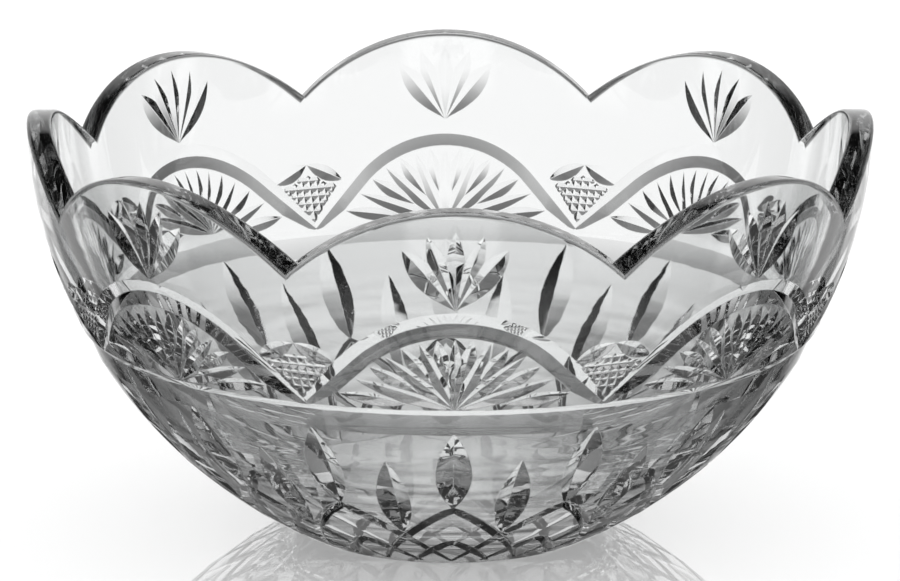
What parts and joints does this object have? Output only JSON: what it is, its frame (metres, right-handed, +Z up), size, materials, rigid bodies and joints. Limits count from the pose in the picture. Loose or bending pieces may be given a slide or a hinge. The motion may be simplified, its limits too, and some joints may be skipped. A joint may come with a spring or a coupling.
{
  "type": "trifle bowl",
  "caption": "Deep round bowl of clear cut crystal with a thick wall, a scalloped rim, and fans, arches, leaves and a lattice cut into its outside.",
  "frame": {"origin": "centre of the flat foot, on the surface that the bowl stands on", "axes": "+Z up along the bowl's axis, towards the rim; the middle of one panel and the top of its scallop face -Y"},
  "size_m": [0.25, 0.25, 0.125],
  "materials": {
    "lead_crystal": "clear lead crystal, fire-polished inside, cut and acid-polished outside"
  },
  "bodies": {
    "root": {"bowl": "lead_crystal"}
  },
  "joints": []
}
